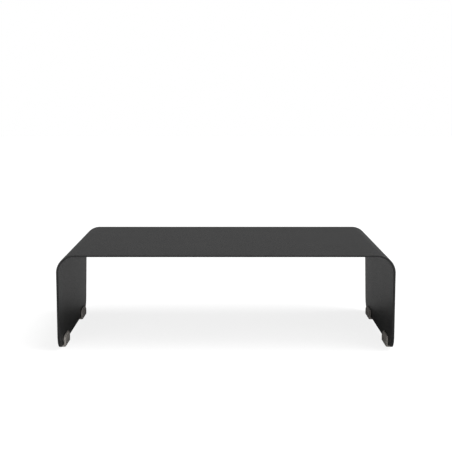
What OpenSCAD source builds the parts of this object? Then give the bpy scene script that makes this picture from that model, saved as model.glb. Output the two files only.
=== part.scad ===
// Monitor riser: a strip of sheet steel bent down at both ends, standing on four stick-on rubber feet.
// X runs across the riser's width, Y from its front edge to its rear edge, Z up from the surface below it.
// The origin is on that surface, under the middle of the riser.

/* [Riser] */
// Width over the outer faces of the legs
riser_w = 450; // [300:5:900]
// Depth from the front edge to the rear edge
riser_d = 280; // [200:5:450]
// Height of the top face above the surface that the feet stand on
riser_h = 132; // [80:1:220]
// Thickness of the sheet
sheet_t = 3; // [1.5:0.5:5]
// Outer radius of the two bends
bend_r = 24; // [8:1:40]
// How far a leg's front and rear edges each draw in between the bend and the leg's lower edge
leg_draw = 9.5; // [0:0.5:20]
// Radius of a leg's lower corners
leg_corner_r = 21; // [4:1:30]

/* [Feet] */
// Length of a foot along the leg
foot_l = 40; // [20:1:50]
// Height of a foot's top edge above the surface below
foot_h = 14.5; // [10:0.5:25]
// Thickness of the ledge that the leg's lower edge stands on
foot_ledge_t = 2.5; // [1.5:0.5:6]
// Thickness of the pad that lies along the inside of the leg
foot_pad_t = 3.2; // [2:0.2:8]
// Radius of a pad's two upper corners, seen from the side of the riser
foot_corner_r = 6; // [3:0.5:8]
// Gap along the leg between a foot and the end of the leg's rounded corner
foot_end_gap = 7.5; // [0:0.5:15]
// How far the ledge stays inside the outer face of the leg
ledge_inset = 0.5; // [0:0.1:1.5]

/* [Tape] */
// Thickness of the double-sided tape between a foot and the leg
tape_t = 0.8; // [0.2:0.1:2]
// Margin between the edges of the tape and the edges of the pad
tape_margin = 1; // [0.5:0.1:2]

/* [Hidden] */
SHEET_COLOUR = [0.2, 0.2, 0.2];
FOOT_COLOUR = [0.44, 0.42, 0.4];
TAPE_COLOUR = [0.1, 0.1, 0.1];

LEFT = -1;
RIGHT = 1;
FRONT = -1;
REAR = 1;
$fn = 96;

// The legs: they run from the lower end of a bend down to the ledges of the feet.
leg_top = riser_h - bend_r;
leg_bottom = foot_ledge_t;
leg_slant = atan(leg_draw / (leg_top - leg_bottom));
// Where the flat of a leg's lower edge ends, and the corner's curve begins, on either side of the middle
corner_reach = leg_corner_r * tan(45 - leg_slant / 2);
leg_flat = riser_d / 2 - leg_draw - corner_reach;

// The feet: these distances run inward from the outer face of the leg.
tape_back = sheet_t;
pad_back = tape_back + tape_t;
pad_face = pad_back + foot_pad_t;
foot_y = leg_flat - foot_end_gap - foot_l / 2;

// An upright arch, seen from the front: square below, rounded at both upper corners.
module arch(half_w, top, r) {
    union() {
        translate([-half_w, 0])
            square([2 * half_w, top - r]);
        translate([r - half_w, 0])
            square([2 * (half_w - r), top]);
        for (side = [LEFT, RIGHT])
            translate([side * (half_w - r), top - r])
                circle(r = r);
    }
}

// The bent strip, seen from the front: the space under the riser is cut out of the arch.
module bent_strip() {
    difference() {
        arch(riser_w / 2, riser_h, bend_r);
        arch(riser_w / 2 - sheet_t, riser_h - sheet_t, bend_r - sheet_t);
    }
}

// The outline of the strip, seen from the side: full depth at the top and drawn in down the legs.
module side_outline() {
    side_x = leg_flat + leg_corner_r * cos(leg_slant);
    side_y = leg_bottom + leg_corner_r * (1 - sin(leg_slant));
    union() {
        polygon([
            [-riser_d / 2, riser_h + sheet_t],
            [-riser_d / 2, leg_top],
            [-side_x, side_y],
            [-leg_flat, leg_bottom],
            [leg_flat, leg_bottom],
            [side_x, side_y],
            [riser_d / 2, leg_top],
            [riser_d / 2, riser_h + sheet_t]
        ]);
        for (end = [FRONT, REAR])
            translate([end * leg_flat, leg_bottom + leg_corner_r])
                circle(r = leg_corner_r);
    }
}

module riser_sheet() {
    color(SHEET_COLOUR)
        intersection() {
            rotate([90, 0, 0])
                linear_extrude(height = riser_d, center = true)
                    bent_strip();
            rotate([90, 0, 90])
                linear_extrude(height = riser_w, center = true)
                    side_outline();
        }
}

// A foot from its end: the ledge under the leg's lower edge and the pad with its rounded upper edge.
module foot_section() {
    translate([ledge_inset, 0])
        square([pad_face - ledge_inset, foot_ledge_t]);
    translate([pad_back, 0])
        square([foot_pad_t, foot_h - foot_pad_t]);
    intersection() {
        translate([pad_back, foot_h - foot_pad_t])
            circle(r = foot_pad_t);
        translate([pad_back, 0])
            square([foot_pad_t, foot_h]);
    }
}

// A foot from above: its two inner corners are rounded by the same radius as the pad's upper edge.
module foot_plan() {
    square([pad_face - foot_pad_t, foot_l]);
    translate([0, foot_pad_t])
        square([pad_face, foot_l - 2 * foot_pad_t]);
    for (y = [foot_pad_t, foot_l - foot_pad_t])
        translate([pad_back, y])
            circle(r = foot_pad_t);
}

// A foot or its tape from the side of the riser: a flat-bottomed plate with two rounded upper corners.
module foot_side(length, top, r) {
    square([length, top - r]);
    translate([r, 0])
        square([length - 2 * r, top]);
    for (y = [r, length - r])
        translate([y, top - r])
            circle(r = r);
}

// One foot, with its ledge towards the outer face of the leg at X = 0 and its middle at Y = 0.
module foot() {
    color(FOOT_COLOUR)
        translate([0, -foot_l / 2, 0])
            intersection() {
                translate([0, foot_l, 0])
                    rotate([90, 0, 0])
                        linear_extrude(height = foot_l)
                            foot_section();
                linear_extrude(height = foot_h)
                    foot_plan();
                rotate([90, 0, 90])
                    linear_extrude(height = pad_face)
                        foot_side(foot_l, foot_h, foot_corner_r);
            }
}

// The tape of one foot, in the same place as foot(). It starts a margin above the ledge.
module tape() {
    tape_bottom = foot_ledge_t + tape_margin;
    color(TAPE_COLOUR)
        translate([tape_back, tape_margin - foot_l / 2, tape_bottom])
            rotate([90, 0, 90])
                linear_extrude(height = tape_t)
                    foot_side(
                        foot_l - 2 * tape_margin,
                        foot_h - tape_margin - tape_bottom,
                        foot_corner_r - tape_margin
                    );
}

// Places a foot or its tape at one corner. All four feet are the same part, turned to face inward.
module at_corner(side, end) {
    translate([side * riser_w / 2, end * foot_y, 0])
        rotate([0, 0, side == RIGHT ? 180 : 0])
            children();
}

module foot_front_left() {
    at_corner(LEFT, FRONT) foot();
}

module foot_front_right() {
    at_corner(RIGHT, FRONT) foot();
}

module foot_rear_left() {
    at_corner(LEFT, REAR) foot();
}

module foot_rear_right() {
    at_corner(RIGHT, REAR) foot();
}

module tape_front_left() {
    at_corner(LEFT, FRONT) tape();
}

module tape_front_right() {
    at_corner(RIGHT, FRONT) tape();
}

module tape_rear_left() {
    at_corner(LEFT, REAR) tape();
}

module tape_rear_right() {
    at_corner(RIGHT, REAR) tape();
}

riser_sheet();
foot_front_left();
foot_front_right();
foot_rear_left();
foot_rear_right();
tape_front_left();
tape_front_right();
tape_rear_left();
tape_rear_right();
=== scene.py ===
"""A satin black monitor riser, bent from one strip of sheet steel, on four stick-on rubber feet.

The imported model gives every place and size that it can. Lengths are in metres.
"""

import math

import bmesh
import bpy
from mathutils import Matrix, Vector


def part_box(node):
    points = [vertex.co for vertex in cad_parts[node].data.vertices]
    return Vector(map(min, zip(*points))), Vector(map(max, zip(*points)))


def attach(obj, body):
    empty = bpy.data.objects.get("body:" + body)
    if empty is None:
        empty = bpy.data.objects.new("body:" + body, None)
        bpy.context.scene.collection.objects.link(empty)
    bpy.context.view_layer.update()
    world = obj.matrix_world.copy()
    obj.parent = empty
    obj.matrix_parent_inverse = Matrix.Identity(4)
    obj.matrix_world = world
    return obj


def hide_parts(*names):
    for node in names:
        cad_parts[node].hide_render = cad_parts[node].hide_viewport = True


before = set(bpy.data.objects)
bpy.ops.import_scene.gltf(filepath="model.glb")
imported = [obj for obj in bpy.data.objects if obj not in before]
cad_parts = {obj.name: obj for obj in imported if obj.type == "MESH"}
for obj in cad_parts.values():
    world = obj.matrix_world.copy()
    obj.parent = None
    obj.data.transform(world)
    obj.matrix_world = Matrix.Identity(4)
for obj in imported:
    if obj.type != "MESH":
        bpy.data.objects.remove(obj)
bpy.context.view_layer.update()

# ---------------------------------------------------------------- sizes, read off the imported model
sheet_low, sheet_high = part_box("riser_sheet")
tape_low, tape_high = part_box("tape_front_left")
foot_low, foot_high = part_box("foot_front_left")
HALF_WIDTH = sheet_high.x
HALF_DEPTH = sheet_high.y
TOP = sheet_high.z
LEG_BOTTOM = sheet_low.z
# These four run inward from the outer face of a leg.
SHEET = tape_low.x + HALF_WIDTH
PAD_BACK = tape_high.x + HALF_WIDTH
PAD_FACE = foot_high.x + HALF_WIDTH
LEDGE_EDGE = foot_low.x + HALF_WIDTH
# Half of a foot's length, how far its middle is from the middle of the riser, and the tape's margin in it.
HALF_FOOT = (foot_high.y - foot_low.y) / 2
FOOT_Y = -(foot_low.y + foot_high.y) / 2
TAPE_MARGIN = foot_high.y - tape_high.y

# ---------------------------------------------------------------- curves that no box can give
BEND_R = 0.024
LEG_DRAW = 0.0095
LEG_CORNER_R = 0.021
ARRIS_R = 0.0004
FOOT_CORNER_R = 0.006

# ---------------------------------------------------------------- the strip, laid flat
# s runs along the strip from the middle of the top, y across it.
TOP_END = HALF_WIDTH - BEND_R
BEND_END = TOP_END + BEND_R * math.pi / 2
LEG = TOP - BEND_R - LEG_BOTTOM
STRIP_END = BEND_END + LEG
SLANT = math.atan(LEG_DRAW / LEG)
LEG_FLAT = HALF_DEPTH - LEG_DRAW - LEG_CORNER_R * math.tan(math.pi / 4 - SLANT / 2)
# How many steps the mesh takes over each stretch of the strip.
TOP_STEPS = 24
BEND_STEPS = 22
LEG_STEPS = 14
CORNER_STEPS = 14
ACROSS_STEPS = 30
ARRIS_STEPS = 3
# How far inside the strip's edge the plain grid ends, and the rings of the mesh between that and the arris.
BORDER = 0.012
RING_INSETS = (0.008, 0.005, 0.003, 0.0016, 0.0008)
# How far from an arris the rim attribute has faded to about a third of what it is there.
RIM_FADE = 0.003


def steps(start, end, count):
    """count + 1 evenly spaced numbers from start to end."""
    return [start + (end - start) * i / count for i in range(count + 1)]


def on_sheet(s, y, depth):
    """The point at s along the strip and y across it, at a depth below its outer face."""
    run = abs(s)
    if run <= TOP_END:
        x, z, out_x, out_z = run, TOP, 0.0, 1.0
    elif run <= BEND_END:
        turn = (run - TOP_END) / BEND_R
        out_x, out_z = math.sin(turn), math.cos(turn)
        x, z = TOP_END + BEND_R * out_x, TOP - BEND_R * (1 - out_z)
    else:
        x, z, out_x, out_z = HALF_WIDTH, TOP - BEND_R - (run - BEND_END), 1.0, 0.0
    return Vector((math.copysign(x - depth * out_x, s), y, z - depth * out_z))


def side_stations():
    """(s, y, outward s, outward y) along the rear edge, from the middle of the top to a leg's lower edge."""
    stations = [(s, HALF_DEPTH, 0.0, 1.0) for s in steps(0, TOP_END, TOP_STEPS)[:-1]]
    stations += [(s, HALF_DEPTH, 0.0, 1.0) for s in steps(TOP_END, BEND_END, BEND_STEPS)[:-1]]
    centre_s = STRIP_END - LEG_CORNER_R
    corner_start = centre_s + LEG_CORNER_R * math.sin(SLANT)
    for s in steps(BEND_END, corner_start, LEG_STEPS)[:-1]:
        y = HALF_DEPTH - (s - BEND_END) * math.tan(SLANT)
        stations.append((s, y, math.sin(SLANT), math.cos(SLANT)))
    for turn in steps(SLANT, math.pi / 2, CORNER_STEPS):
        out_s, out_y = math.sin(turn), math.cos(turn)
        point = (centre_s + LEG_CORNER_R * out_s, LEG_FLAT + LEG_CORNER_R * out_y)
        stations.append((*point, out_s, out_y))
    return stations


def edge_rings():
    """(inset from the strip's edge, depth below its outer face) over the rounded edge, from face to face."""
    outer_half = [(inset, 0.0) for inset in RING_INSETS]
    for turn in steps(0, math.pi / 2, ARRIS_STEPS):
        outer_half.append((ARRIS_R * (1 - math.sin(turn)), ARRIS_R * (1 - math.cos(turn))))
    inner_half = [(inset, SHEET - depth) for inset, depth in reversed(outer_half)]
    return outer_half + [(0.0, SHEET / 2)] + inner_half


def mesh_piece(name, bm, material, nodes):
    """Makes a smooth-shaded piece that stands for CAD nodes and rides on the root body."""
    bmesh.ops.recalc_face_normals(bm, faces=bm.faces)
    mesh = bpy.data.meshes.new(name)
    bm.to_mesh(mesh)
    bm.free()
    mesh.shade_smooth()
    mesh.materials.append(material)
    piece = bpy.data.objects.new(name, mesh)
    bpy.context.scene.collection.objects.link(piece)
    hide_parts(*nodes)
    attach(piece, "root")


def join_loops(bm, low, high):
    """A band of faces between two equally long vertex loops."""
    for k in range(len(low)):
        following = (k + 1) % len(low)
        bm.faces.new((low[k], low[following], high[following], high[k]))


def build_sheet(material):
    """The bent strip: a grid over each face, joined round the edge by rings of its rounded profile."""
    half = side_stations()
    stations = [(-s, y, -out_s, out_y) for s, y, out_s, out_y in reversed(half[1:])] + half
    across = steps(-1, 1, ACROSS_STEPS)
    last_row, last_column = len(stations) - 1, len(across) - 1
    bm = bmesh.new()
    rim = bm.verts.layers.float.new("rim")

    def vertex(s, y, depth, inset):
        """A vertex of the strip. Its rim attribute is 1 at an arris and fades away from it."""
        v = bm.verts.new(on_sheet(s, y, depth))
        from_arris = max(inset, min(depth, SHEET - depth)) - ARRIS_R
        v[rim] = math.exp(-max(0.0, from_arris) / RIM_FADE)
        return v

    def face_grid(depth):
        """The plain part of one face, as rows of vertices."""
        rows = []
        for s, y, out_s, out_y in stations:
            row_s, row_y = s - BORDER * out_s, y - BORDER * out_y
            rows.append([vertex(row_s, row_y * t, depth, BORDER) for t in across])
        for low, high in zip(rows, rows[1:]):
            for j in range(last_column):
                bm.faces.new((low[j], low[j + 1], high[j + 1], high[j]))
        return rows

    # The edge of the strip, once round: each entry is a grid corner with the edge point outside it.
    loop = [((0, j), (-STRIP_END, LEG_FLAT * t, -1.0, 0.0)) for j, t in enumerate(across)]
    loop += [((i, last_column), stations[i]) for i in range(1, last_row)]
    for j in range(last_column, -1, -1):
        loop.append(((last_row, j), (STRIP_END, LEG_FLAT * across[j], 1.0, 0.0)))
    for i in range(last_row - 1, 0, -1):
        s, y, out_s, out_y = stations[i]
        loop.append(((i, 0), (s, -y, out_s, -out_y)))

    outer, inner = face_grid(0.0), face_grid(SHEET)
    rings = [[outer[i][j] for (i, j), _ in loop]]
    for inset, depth in edge_rings():
        rings.append([vertex(s - inset * out_s, y - inset * out_y, depth, inset)
                      for _, (s, y, out_s, out_y) in loop])
    rings.append([inner[i][j] for (i, j), _ in loop])
    for low, high in zip(rings, rings[1:]):
        join_loops(bm, low, high)
    mesh_piece("bent_sheet", bm, material, ["riser_sheet"])


# ---------------------------------------------------------------- feet and tape
# Roundings of the sole's inner edge, of the ledge's lower edge and of a foot's two ends.
SOLE_R = 0.0018
LEDGE_R = 0.0005
FOOT_END_R = 0.0005
# The sole's rounding takes at most this share of the pad, where the pad thins out towards a foot's ends.
SOLE_SHARE = 0.4
# The pad's soft upper shoulder is this many times as tall as it is deep.
SHOULDER_STRETCH = 2.0
# The rounding of the pad's ends, seen from above, would reach the pad's back this far past a foot's end.
END_OVERSHOOT = 0.0004
# Distances from a foot's end at which its section is drawn, past the rounding of the end itself.
END_INSETS = (0.0009, 0.0014, 0.002, 0.0026, 0.0032, 0.004, 0.005, 0.006, 0.009, 0.013)
# How many steps each stretch of a foot's section takes.
ROUNDING_STEPS = 4
SOLE_STEPS = 4
FACE_STEPS = 5
SHOULDER_STEPS = 9
LEDGE_TIP_STEPS = 3
# How far the tape's cut edge stands out in the middle of its thickness, and the steps of its mesh.
TAPE_BULGE = 0.00015
TAPE_LAYERS = 6
TAPE_CORNER_STEPS = 6
TAPE_BOTTOM_STEPS = 12
# The side and the end of the riser that each foot is at.
CORNERS = {
    "front_left": (-1, -1),
    "front_right": (1, -1),
    "rear_left": (-1, 1),
    "rear_right": (1, 1),
}


def arc(x, z, radius_x, radius_z, start, end, count):
    """Points on an ellipse's arc. The angles are in degrees from +x."""
    turns = [math.radians(angle) for angle in steps(start, end, count)]
    return [(x + radius_x * math.cos(turn), z + radius_z * math.sin(turn)) for turn in turns]


def rounding(x, z, radius, start, end, count=ROUNDING_STEPS):
    """Points on a circle's arc, from angle to angle in degrees."""
    return arc(x, z, radius, radius, start, end, count)


def bridge(bm, loops):
    """Skins a row of equally long vertex loops and closes both ends."""
    for low, high in zip(loops, loops[1:]):
        join_loops(bm, low, high)
    bm.faces.new(loops[0])
    bm.faces.new(loops[-1][::-1])


def foot_section(push, top, shrink):
    """A foot's section as (inward, up) points.

    push is how far the pad stands off its back, and shrink pulls the outline in near the foot's ends.
    """
    ledge = LEG_BOTTOM - shrink
    edge = LEDGE_EDGE + shrink
    face = PAD_BACK + push - shrink
    sole_r = min(SOLE_R, SOLE_SHARE * push)
    shoulder = SHOULDER_STRETCH * (face - PAD_BACK)
    tip_r = LEDGE_R / 2
    points = rounding(edge + LEDGE_R, shrink + LEDGE_R, LEDGE_R, 180, 270)
    points += [(x, shrink) for x in steps(edge + LEDGE_R, face - sole_r, SOLE_STEPS)[1:-1]]
    points += rounding(face - sole_r, shrink + sole_r, sole_r, 270, 360)
    points += [(face, z) for z in steps(shrink + sole_r, top - shoulder, FACE_STEPS)[1:-1]]
    points += arc(PAD_BACK, top - shoulder, face - PAD_BACK, shoulder, 0, 90, SHOULDER_STEPS)
    points += [(PAD_BACK, z) for z in steps(top, ledge, FACE_STEPS)[1:]]
    points += rounding(edge + tip_r, ledge - tip_r, tip_r, 90, 180, LEDGE_TIP_STEPS)
    return points


def foot_stations():
    """(distance from the middle, push, top, shrink) from one end of a foot to the other."""
    pad = PAD_FACE - PAD_BACK
    insets = rounding(FOOT_END_R, FOOT_END_R, FOOT_END_R, 180, 270)
    insets += [(inset, 0.0) for inset in END_INSETS]
    profile = []
    for inset, shrink in insets:
        into_end = max(0.0, pad - inset - END_OVERSHOOT)
        push = math.sqrt(pad**2 - into_end**2)
        into_corner = max(0.0, FOOT_CORNER_R - inset)
        drop = FOOT_CORNER_R - math.sqrt(FOOT_CORNER_R**2 - into_corner**2)
        profile.append((HALF_FOOT - inset, push, foot_high.z - drop, shrink))
    middle = (0.0, *profile[-1][1:])
    return [(-y, *rest) for y, *rest in profile] + [middle] + profile[::-1]


def corner_point(side, end, inward, along, up):
    """A foot's own point placed at one corner of the riser. side and end are -1 or 1."""
    return Vector((side * (HALF_WIDTH - inward), end * FOOT_Y + along, up))


def build_foot(corner, side, end, material):
    """A moulded foot: a soft-shouldered pad inside the leg, on a ledge that runs under the leg's edge."""
    bm = bmesh.new()
    loops = []
    for along, push, top, shrink in foot_stations():
        loops.append([bm.verts.new(corner_point(side, end, inward, along, up))
                      for inward, up in foot_section(push, top, shrink)])
    bridge(bm, loops)
    mesh_piece("rubber_foot_" + corner, bm, material, ["foot_" + corner])


def build_tape(corner, side, end, material):
    """The foam tape between a foot and the leg. Its cut edge bulges a little where it is squeezed."""
    low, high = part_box("tape_" + corner)
    corner_r = FOOT_CORNER_R - TAPE_MARGIN
    bm = bmesh.new()
    loops = []
    for share in steps(0, 1, TAPE_LAYERS):
        hollow = TAPE_BULGE * (2 * share - 1) ** 2
        half, top, bottom = (high.y - low.y) / 2 - hollow, high.z - hollow, low.z + hollow
        outline = rounding(corner_r - half, top - corner_r, corner_r, 180, 90, TAPE_CORNER_STEPS)
        outline += rounding(half - corner_r, top - corner_r, corner_r, 90, 0, TAPE_CORNER_STEPS)
        outline += [(y, bottom) for y in steps(half, -half, TAPE_BOTTOM_STEPS)]
        inward = SHEET + share * (PAD_BACK - SHEET)
        loops.append([bm.verts.new(corner_point(side, end, inward, y, z)) for y, z in outline])
    bridge(bm, loops)
    mesh_piece("foam_tape_" + corner, bm, material, ["tape_" + corner])


# ---------------------------------------------------------------- shader groups
# The middle of a noise's range, and how much nearer to it full sharpness brings a patch's two limits.
NOISE_MIDDLE = 0.5
SHARPENING = 0.4
# Each pair here is the range over which a mask rises from nothing to full.
# The first is over the rim attribute, and the second over the noise that breaks it up.
RUBBED_RIM = (0.55, 1.0)
RUBBED_PATCHES = (0.42, 0.68)
# How far a surface faces up, where 1 is level, and the noise of the dust's clouds and of its specks.
DUST_FACING = (0.3, 0.95)
DUST_CLOUDS = (0.35, 0.75)
DUST_SPECKS = (0.62, 0.74)


def add_node(tree, kind, **settings):
    """A new node with its settings."""
    node = tree.nodes.new(kind)
    for name, value in settings.items():
        setattr(node, name, value)
    return node


def new_group(name, inputs, outputs):
    """A shader group with float inputs {name: default} and outputs {name: socket type}."""
    group = bpy.data.node_groups.new(name, "ShaderNodeTree")
    for socket, default in inputs.items():
        made = group.interface.new_socket(socket, in_out="INPUT", socket_type="NodeSocketFloat")
        made.default_value = default
    for socket, kind in outputs.items():
        group.interface.new_socket(socket, in_out="OUTPUT", socket_type=kind)
    return group, group.nodes.new("NodeGroupInput"), group.nodes.new("NodeGroupOutput")


def use_group(tree, group, **values):
    """Places a group in a tree and sets its inputs, with _ for the spaces in their names."""
    node = add_node(tree, "ShaderNodeGroup", node_tree=group)
    for name, value in values.items():
        node.inputs[name.replace("_", " ")].default_value = value
    return node.outputs[0]


def set_or_link(tree, socket, value):
    """Gives a socket a number, or links another socket to it."""
    if isinstance(value, (int, float)):
        socket.default_value = value
    else:
        tree.links.new(value, socket)


def calculate(tree, operation, a, b):
    """The result of a Math node. a and b are sockets or numbers."""
    node = add_node(tree, "ShaderNodeMath", operation=operation)
    set_or_link(tree, node.inputs[0], a)
    set_or_link(tree, node.inputs[1], b)
    return node.outputs[0]


def noise(tree, size, detail, roughness=0.5):
    """Noise over the object's own coordinates. size is that of its features, a socket or a number."""
    coordinates = add_node(tree, "ShaderNodeTexCoord").outputs["Object"]
    texture = add_node(tree, "ShaderNodeTexNoise")
    texture.inputs["Detail"].default_value = detail
    texture.inputs["Roughness"].default_value = roughness
    tree.links.new(coordinates, texture.inputs["Vector"])
    tree.links.new(calculate(tree, "DIVIDE", 1.0, size), texture.inputs["Scale"])
    return texture.outputs["Fac"]


def between(tree, value, low, high, out_low=0.0, out_high=1.0):
    """Maps value from low..high to out_low..out_high, smoothly and clamped."""
    node = add_node(tree, "ShaderNodeMapRange", interpolation_type="SMOOTHSTEP")
    set_or_link(tree, node.inputs["From Min"], low)
    set_or_link(tree, node.inputs["From Max"], high)
    set_or_link(tree, node.inputs["To Min"], out_low)
    set_or_link(tree, node.inputs["To Max"], out_high)
    tree.links.new(value, node.inputs["Value"])
    return node.outputs["Result"]


def fine_grain_group():
    """Height of a grained surface: small grains on a broader, softer ripple."""
    group, ins, outs = new_group(
        "fine_grain", {"Grain Size": 0.0005, "Ripple Size": 0.002, "Ripple Share": 0.5},
        {"Height": "NodeSocketFloat"})
    grain = noise(group, ins.outputs["Grain Size"], detail=3)
    ripple = noise(group, ins.outputs["Ripple Size"], detail=1)
    grain_share = calculate(group, "SUBTRACT", 1.0, ins.outputs["Ripple Share"])
    ripple_part = calculate(group, "MULTIPLY", ripple, ins.outputs["Ripple Share"])
    grain_part = calculate(group, "MULTIPLY", grain, grain_share)
    group.links.new(calculate(group, "ADD", ripple_part, grain_part), outs.inputs["Height"])
    return group


def patches_group():
    """A mask of soft, uneven patches, as batches of powder, handling or moulding leave."""
    group, ins, outs = new_group(
        "patches", {"Size": 0.05, "Sharpness": 0.5}, {"Mask": "NodeSocketFloat"})
    narrowed = calculate(group, "MULTIPLY", ins.outputs["Sharpness"], SHARPENING)
    spread = calculate(group, "SUBTRACT", NOISE_MIDDLE, narrowed)
    low = calculate(group, "SUBTRACT", NOISE_MIDDLE, spread)
    high = calculate(group, "ADD", NOISE_MIDDLE, spread)
    blotches = noise(group, ins.outputs["Size"], detail=4, roughness=0.55)
    group.links.new(between(group, blotches, low, high), outs.inputs["Mask"])
    return group


def rim_wear_group():
    """A mask that follows the arrises of a piece that has a rim attribute, broken up by noise."""
    group, ins, outs = new_group(
        "rim_wear", {"Amount": 0.5, "Break Size": 0.006}, {"Mask": "NodeSocketFloat"})
    rim = add_node(group, "ShaderNodeAttribute", attribute_name="rim").outputs["Fac"]
    breaks = noise(group, ins.outputs["Break Size"], detail=5, roughness=0.6)
    broken = between(group, breaks, *RUBBED_PATCHES)
    worn = calculate(group, "MULTIPLY", between(group, rim, *RUBBED_RIM), broken)
    group.links.new(calculate(group, "MULTIPLY", worn, ins.outputs["Amount"]), outs.inputs["Mask"])
    return group


def dust_group():
    """A mask of settled dust: only on what faces up, half of it in thin clouds and half in specks."""
    group, ins, outs = new_group(
        "dust", {"Amount": 0.1, "Cloud Size": 0.07, "Speck Size": 0.0016}, {"Mask": "NodeSocketFloat"})
    normal = add_node(group, "ShaderNodeNewGeometry").outputs["Normal"]
    split = add_node(group, "ShaderNodeSeparateXYZ")
    group.links.new(normal, split.inputs[0])
    upward = between(group, split.outputs["Z"], *DUST_FACING)
    drifts = noise(group, ins.outputs["Cloud Size"], detail=5, roughness=0.6)
    cloud = between(group, drifts, *DUST_CLOUDS)
    specks = between(group, noise(group, ins.outputs["Speck Size"], detail=2), *DUST_SPECKS)
    both = calculate(group, "MULTIPLY", calculate(group, "ADD", cloud, specks), 0.5)
    settled = calculate(group, "MULTIPLY", upward, both)
    group.links.new(calculate(group, "MULTIPLY", settled, ins.outputs["Amount"]), outs.inputs["Mask"])
    return group


FINE_GRAIN = fine_grain_group()
PATCHES = patches_group()
RIM_WEAR = rim_wear_group()
DUST = dust_group()


# ---------------------------------------------------------------- materials
# Each finish drifts between two tones and between two roughnesses. A relief is how deep its grain is.
COAT_TONES = ((0.0164, 0.0164, 0.0167), (0.018, 0.018, 0.0183))
COAT_RUBBED = (0.085, 0.085, 0.086)
COAT_DUST = (0.3, 0.29, 0.28)
COAT_ROUGHNESS = (0.37, 0.39)
# Over this range of the grain's height, from its hollows to its tops, the roughness changes by this much.
COAT_GRAIN_RANGE = (0.35, 0.65)
COAT_GRAIN_ROUGHNESS = (-0.09, 0.09)
# How much smoother the coat is where it is rubbed.
COAT_POLISH = 0.12
COAT_SPECULAR = 0.35
COAT_RELIEF = 0.0002
RUBBER_TONES = ((0.24, 0.223, 0.206), (0.31, 0.291, 0.272))
RUBBER_SCUFF = (0.075, 0.069, 0.063)
RUBBER_SCUFF_SHARE = 0.18
RUBBER_ROUGHNESS = (0.62, 0.74)
RUBBER_SPECULAR = 0.35
RUBBER_RELIEF = 0.00015
FOAM_TONES = ((0.006, 0.006, 0.006), (0.022, 0.022, 0.021))
FOAM_ROUGHNESS = (0.85, 0.95)
FOAM_RELIEF = 0.0001


def new_material(name):
    """An empty node material with its Principled shader, returned as (material, tree, shader)."""
    material = bpy.data.materials.new(name)
    material.use_nodes = True
    tree = material.node_tree
    return material, tree, tree.nodes["Principled BSDF"]


def mix_colours(tree, mask, first, second):
    """A mix of two colours, each a socket or red, green and blue."""
    node = add_node(tree, "ShaderNodeMix", data_type="RGBA")
    tree.links.new(mask, node.inputs[0])
    for socket, colour in ((node.inputs[6], first), (node.inputs[7], second)):
        if isinstance(colour, tuple):
            socket.default_value = (*colour, 1.0)
        else:
            tree.links.new(colour, socket)
    return node.outputs[2]


def add_bump(tree, shader, height, relief, strength=1.0):
    """Feeds a height to the shader's normal."""
    bump = add_node(tree, "ShaderNodeBump")
    bump.inputs["Distance"].default_value = relief
    bump.inputs["Strength"].default_value = strength
    tree.links.new(height, bump.inputs["Height"])
    tree.links.new(bump.outputs["Normal"], shader.inputs["Normal"])


def powder_coat():
    """Satin black powder coat: fine-textured, and rubbed a little lighter and smoother at its arrises."""
    material, tree, shader = new_material("powder_coat")
    grain = use_group(tree, FINE_GRAIN, Grain_Size=0.0009, Ripple_Size=0.0022, Ripple_Share=0.25)
    patches = use_group(tree, PATCHES, Size=0.09, Sharpness=0.3)
    wear = use_group(tree, RIM_WEAR, Amount=0.07, Break_Size=0.007)
    dust = use_group(tree, DUST, Amount=0.02)
    colour = mix_colours(tree, patches, *COAT_TONES)
    colour = mix_colours(tree, wear, colour, COAT_RUBBED)
    colour = mix_colours(tree, dust, colour, COAT_DUST)
    tree.links.new(colour, shader.inputs["Base Color"])
    drift = between(tree, patches, 0, 1, *COAT_ROUGHNESS)
    texture = between(tree, grain, *COAT_GRAIN_RANGE, *COAT_GRAIN_ROUGHNESS)
    rough = calculate(tree, "ADD", drift, texture)
    rough = calculate(tree, "SUBTRACT", rough, calculate(tree, "MULTIPLY", wear, COAT_POLISH))
    tree.links.new(rough, shader.inputs["Roughness"])
    shader.inputs["Specular IOR Level"].default_value = COAT_SPECULAR
    add_bump(tree, shader, grain, COAT_RELIEF)
    return material


def foot_rubber():
    """Matt warm-grey moulded rubber, mottled, with small darker scuffs."""
    material, tree, shader = new_material("foot_rubber")
    grain = use_group(tree, FINE_GRAIN, Grain_Size=0.0003, Ripple_Size=0.0012, Ripple_Share=0.3)
    patches = use_group(tree, PATCHES, Size=0.006, Sharpness=0.4)
    scuffs = use_group(tree, PATCHES, Size=0.0015, Sharpness=0.7)
    colour = mix_colours(tree, patches, *RUBBER_TONES)
    colour = mix_colours(tree, calculate(tree, "MULTIPLY", scuffs, RUBBER_SCUFF_SHARE), colour, RUBBER_SCUFF)
    tree.links.new(colour, shader.inputs["Base Color"])
    tree.links.new(between(tree, patches, 0, 1, *RUBBER_ROUGHNESS), shader.inputs["Roughness"])
    shader.inputs["Specular IOR Level"].default_value = RUBBER_SPECULAR
    add_bump(tree, shader, grain, RUBBER_RELIEF)
    return material


def foam_tape():
    """Black foam tape with open cells at its cut edge."""
    material, tree, shader = new_material("foam_tape")
    grain = use_group(tree, FINE_GRAIN, Grain_Size=0.00025, Ripple_Size=0.0007, Ripple_Share=0.6)
    cells = use_group(tree, PATCHES, Size=0.0006, Sharpness=0.8)
    tree.links.new(mix_colours(tree, cells, *FOAM_TONES), shader.inputs["Base Color"])
    tree.links.new(between(tree, cells, 0, 1, *FOAM_ROUGHNESS), shader.inputs["Roughness"])
    add_bump(tree, shader, grain, FOAM_RELIEF, strength=0.7)
    return material


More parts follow.
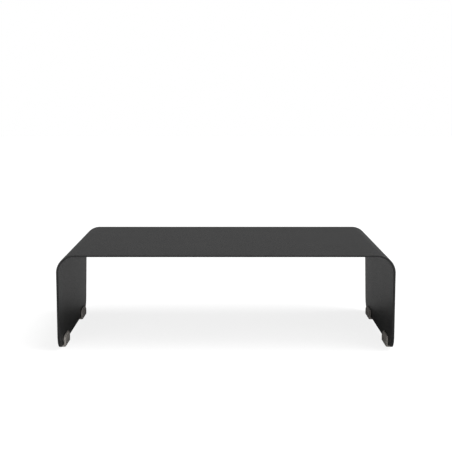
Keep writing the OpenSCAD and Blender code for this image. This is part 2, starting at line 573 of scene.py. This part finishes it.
def build_riser():
    """The whole riser, piece by piece."""
    build_sheet(powder_coat())
    rubber, foam = foot_rubber(), foam_tape()
    for corner, (side, end) in CORNERS.items():
        build_foot(corner, side, end, rubber)
        build_tape(corner, side, end, foam)


# ---------------------------------------------------------------- stage, light and camera
# The sensor and the lens are in millimetres, and the pitch is in degrees below level.
LENS_SENSOR = 36.0
LENS = 81.8
LENS_SHIFT = (0.0003, -0.203)
CAMERA_FROM_FRONT_EDGE = 1.3503
CAMERA_HEIGHT = 0.3508
CAMERA_PITCH = 2.5
# The furthest that the camera sees.
CAMERA_REACH = 100.0
WHITE = (1.0, 1.0, 1.0, 1.0)
FLOOR_SIZE = 12.0
FLOOR_TONE = 0.25
# How much the floor and the room shine to the camera, and how much the room lights the riser.
FLOOR_GLOW = 0.82
ROOM_WHITE = 1.0
ROOM_TONE = 0.2
# Each light: where it comes from, how wide it is across the sky in degrees, and its strength.
LIGHTS = {
    "overhead_light": {"source": (0.7, -0.2, 1.0), "spread": 50, "strength": 2.8},
    "front_light": {"source": (0.1, -1.0, 0.2), "spread": 80, "strength": 2.25},
    "left_light": {"source": (-1.0, -0.1, 0.2), "spread": 50, "strength": 1.0},
    "right_light": {"source": (1.0, 0.1, 0.2), "spread": 50, "strength": 0.7},
}


def seen_by_camera(tree):
    """1 for rays that come straight from the camera, and 0 for the light that reaches the riser."""
    return add_node(tree, "ShaderNodeLightPath").outputs["Is Camera Ray"]


def build_floor():
    """A plain pale floor. It glows a little to the camera, so that its shadows stay light."""
    bm = bmesh.new()
    bmesh.ops.create_grid(bm, x_segments=1, y_segments=1, size=FLOOR_SIZE / 2)
    mesh = bpy.data.meshes.new("floor")
    bm.to_mesh(mesh)
    bm.free()
    material, tree, shader = new_material("pale_floor")
    shader.inputs["Base Color"].default_value = (FLOOR_TONE, FLOOR_TONE, FLOOR_TONE, 1.0)
    shader.inputs["Specular IOR Level"].default_value = 0.0
    shader.inputs["Emission Color"].default_value = WHITE
    glow = calculate(tree, "MULTIPLY", seen_by_camera(tree), FLOOR_GLOW)
    tree.links.new(glow, shader.inputs["Emission Strength"])
    mesh.materials.append(material)
    floor = bpy.data.objects.new("floor", mesh)
    bpy.context.scene.collection.objects.link(floor)


def build_room():
    """The surround: white behind the riser, dim as a source of light."""
    world = bpy.data.worlds.new("studio")
    world.use_nodes = True
    tree = world.node_tree
    background = tree.nodes["Background"]
    background.inputs["Color"].default_value = WHITE
    strength = between(tree, seen_by_camera(tree), 0, 1, ROOM_TONE, ROOM_WHITE)
    tree.links.new(strength, background.inputs["Strength"])
    bpy.context.scene.world = world


def add_light(name, source, spread, strength):
    """An even light from far away, as wide as a large softbox, so that its shadows are soft."""
    light = bpy.data.lights.new(name, "SUN")
    light.angle = math.radians(spread)
    light.energy = strength
    lamp = bpy.data.objects.new(name, light)
    lamp.rotation_euler = (-Vector(source)).to_track_quat("-Z", "Y").to_euler()
    bpy.context.scene.collection.objects.link(lamp)


def build_camera():
    """A long lens in front of the riser and a little above it, tipped slightly down."""
    data = bpy.data.cameras.new("camera")
    data.sensor_width = LENS_SENSOR
    data.lens = LENS
    data.shift_x, data.shift_y = LENS_SHIFT
    data.clip_end = CAMERA_REACH
    camera = bpy.data.objects.new("camera", data)
    camera.location = (0, -HALF_DEPTH - CAMERA_FROM_FRONT_EDGE, CAMERA_HEIGHT)
    camera.rotation_euler = (math.radians(90 - CAMERA_PITCH), 0, 0)
    bpy.context.scene.collection.objects.link(camera)
    bpy.context.scene.camera = camera


build_camera()
build_riser()
build_floor()
build_room()
for name, settings in LIGHTS.items():
    add_light(name, **settings)
bpy.context.scene.view_settings.view_transform = "Standard"

bpy.context.view_layer.update()
